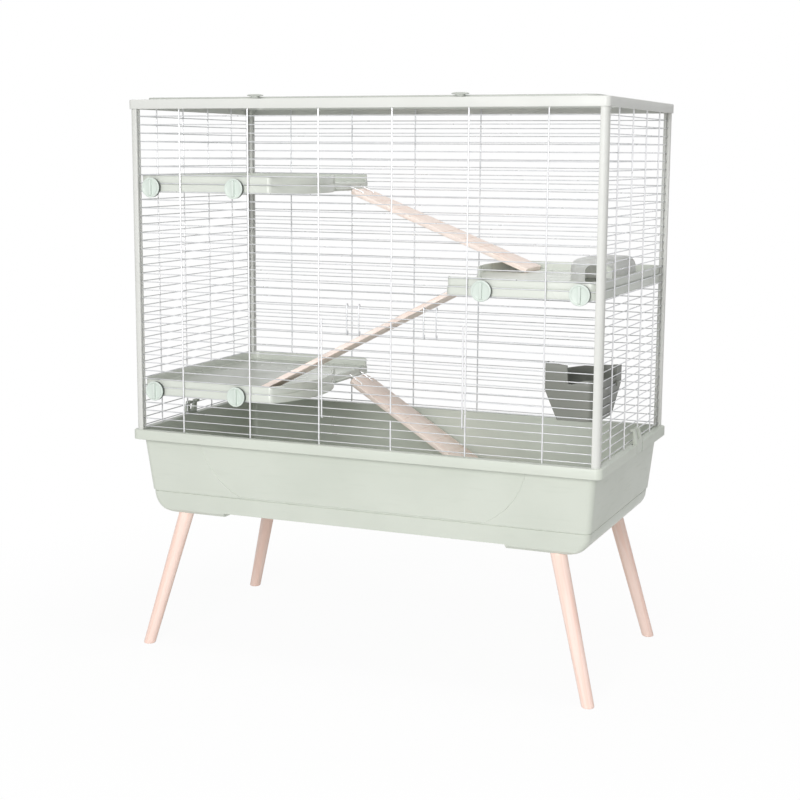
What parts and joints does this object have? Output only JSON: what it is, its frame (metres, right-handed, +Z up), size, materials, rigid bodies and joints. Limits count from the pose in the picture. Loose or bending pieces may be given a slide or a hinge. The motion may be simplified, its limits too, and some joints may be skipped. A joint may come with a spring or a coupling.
{
  "type": "rabbit cage",
  "caption": "Wire cage on a moulded tray with splayed wooden legs, clamped platforms, hooked ramps, a nest house, a hay bin, a drop-down front door and a lift-up roof door.",
  "frame": {"origin": "on the floor under the middle of the tray rim's rectangle", "axes": "+X along the front to the right, +Y from the front to the back, +Z up; the door faces -Y"},
  "size_m": [1, 0.515, 1.1418],
  "materials": {
    "tray_plastic": "satin moulded",
    "frame_plastic": "satin extruded",
    "knob_plastic": "satin moulded",
    "dark_plastic": "matt",
    "sage_plastic": "satin moulded",
    "pine": "sanded",
    "zinc_wire": "semi-gloss coat",
    "steel": "zinc plated"
  },
  "bodies": {
    "cage": {"base_tray": "tray_plastic", "upper_platform": "tray_plastic", "middle_platform": "tray_plastic", "lower_platform": "tray_plastic", "roof_frame": "frame_plastic", "post_front_left": "frame_plastic", "post_front_right": "frame_plastic", "post_back_left": "frame_plastic", "post_back_right": "frame_plastic", "knob_washers": "dark_plastic", "leg_front_left": "pine", "leg_front_right": "pine", "leg_back_left": "pine", "leg_back_right": "pine", "front_wire_panel": "zinc_wire", "back_wire_panel": "zinc_wire", "left_wire_panel": "zinc_wire", "right_wire_panel": "zinc_wire", "leg_studs": "steel", "tray_clip_pins": "steel", "roof_hinge_pins": "steel"},
    "front_door": {"front_door": "zinc_wire"},
    "door_hook_left": {"door_hook_left": "steel"},
    "door_hook_right": {"door_hook_right": "steel"},
    "roof_door": {"roof_door_frame": "frame_plastic", "roof_door_wires": "zinc_wire"},
    "roof_latch_left": {"roof_latch_left": "frame_plastic"},
    "roof_latch_right": {"roof_latch_right": "frame_plastic"},
    "tray_clip_left": {"tray_clip_left": "tray_plastic"},
    "tray_clip_right": {"tray_clip_right": "tray_plastic"},
    "upper_ramp": {"upper_ramp": "pine", "upper_ramp_hooks": "steel"},
    "middle_ramp": {"middle_ramp": "pine", "middle_ramp_hooks": "steel"},
    "lower_ramp": {"lower_ramp": "pine", "lower_ramp_hooks": "steel"},
    "nest_house": {"nest_house": "sage_plastic"},
    "hay_bin": {"hay_bin": "sage_plastic"},
    "upper_knob_outer": {"upper_knob_outer": "knob_plastic"},
    "upper_knob_inner": {"upper_knob_inner": "knob_plastic"},
    "middle_knob_outer": {"middle_knob_outer": "knob_plastic"},
    "middle_knob_inner": {"middle_knob_inner": "knob_plastic"},
    "lower_knob_outer": {"lower_knob_outer": "knob_plastic"},
    "lower_knob_inner": {"lower_knob_inner": "knob_plastic"}
  },
  "joints": [
    {"name": "front_door_hinge", "type": "hinge", "parent": "cage", "child": "front_door", "pos_m": [0.0765, -0.2432, 0.5188], "axis": [1, 0, 0], "range_deg": [0, 150]},
    {"name": "door_hook_left_slide", "type": "slide", "parent": "front_door", "child": "door_hook_left", "axis": [0, 0, 1], "range_m": [-0.0025, 0]},
    {"name": "door_hook_right_slide", "type": "slide", "parent": "front_door", "child": "door_hook_right", "axis": [0, 0, 1], "range_m": [-0.0025, 0]},
    {"name": "roof_door_hinge", "type": "hinge", "parent": "cage", "child": "roof_door", "pos_m": [0, 0.2451, 1.1373], "axis": [-1, 0, 0], "range_deg": [0, 100]},
    {"name": "roof_latch_left_turn", "type": "hinge", "parent": "cage", "child": "roof_latch_left", "pos_m": [-0.212, -0.2451, 1.139], "axis": [0, 0, 1], "range_deg": [0, 90]},
    {"name": "tray_clip_left_hinge", "type": "hinge", "parent": "cage", "child": "tray_clip_left", "pos_m": [-0.4955, -0.029, 0.45], "axis": [0, -1, 0], "range_deg": [0, 100]},
    {"name": "roof_latch_right_turn", "type": "hinge", "parent": "cage", "child": "roof_latch_right", "pos_m": [0.212, -0.2451, 1.139], "axis": [0, 0, 1], "range_deg": [0, 90]},
    {"name": "tray_clip_right_hinge", "type": "hinge", "parent": "cage", "child": "tray_clip_right", "pos_m": [0.4955, 0.029, 0.45], "axis": [0, 1, 0], "range_deg": [0, 100]},
    {"name": "upper_knob_outer_turn", "type": "hinge", "parent": "cage", "child": "upper_knob_outer", "pos_m": [-0.4482, -0.25, 0.9587], "axis": [0, 1, 0], "range_deg": [0, 90]},
    {"name": "upper_knob_inner_turn", "type": "hinge", "parent": "cage", "child": "upper_knob_inner", "pos_m": [-0.2592, -0.25, 0.9587], "axis": [0, 1, 0], "range_deg": [0, 90]},
    {"name": "middle_knob_outer_turn", "type": "hinge", "parent": "cage", "child": "middle_knob_outer", "pos_m": [0.4482, -0.25, 0.7786], "axis": [0, 1, 0], "range_deg": [0, 90]},
    {"name": "middle_knob_inner_turn", "type": "hinge", "parent": "cage", "child": "middle_knob_inner", "pos_m": [0.2592, -0.25, 0.7786], "axis": [0, 1, 0], "range_deg": [0, 90]},
    {"name": "lower_knob_outer_turn", "type": "hinge", "parent": "cage", "child": "lower_knob_outer", "pos_m": [-0.4482, -0.25, 0.5447], "axis": [0, 1, 0], "range_deg": [0, 90]},
    {"name": "lower_knob_inner_turn", "type": "hinge", "parent": "cage", "child": "lower_knob_inner", "pos_m": [-0.2592, -0.25, 0.5447], "axis": [0, 1, 0], "range_deg": [0, 90]},
    {"name": "upper_ramp_hinge", "type": "hinge", "parent": "cage", "child": "upper_ramp", "pos_m": [-0.1867, 0.167, 0.9522], "axis": [0, -1, 0], "range_deg": [0, 35]},
    {"name": "middle_ramp_hinge", "type": "hinge", "parent": "cage", "child": "middle_ramp", "pos_m": [0.1867, -0.167, 0.7721], "axis": [0, 1, 0], "range_deg": [0, 35]},
    {"name": "lower_ramp_hinge", "type": "hinge", "parent": "cage", "child": "lower_ramp", "pos_m": [-0.1867, 0.167, 0.5382], "axis": [0, -1, 0], "range_deg": [0, 35]},
    {"name": "nest_house_lift", "type": "slide", "parent": "cage", "child": "nest_house", "axis": [0, 0, 1], "range_m": [0, 0.15]},
    {"name": "hay_bin_lift", "type": "slide", "parent": "cage", "child": "hay_bin", "axis": [0, 0, 1], "range_m": [0, 0.01]}
  ]
}
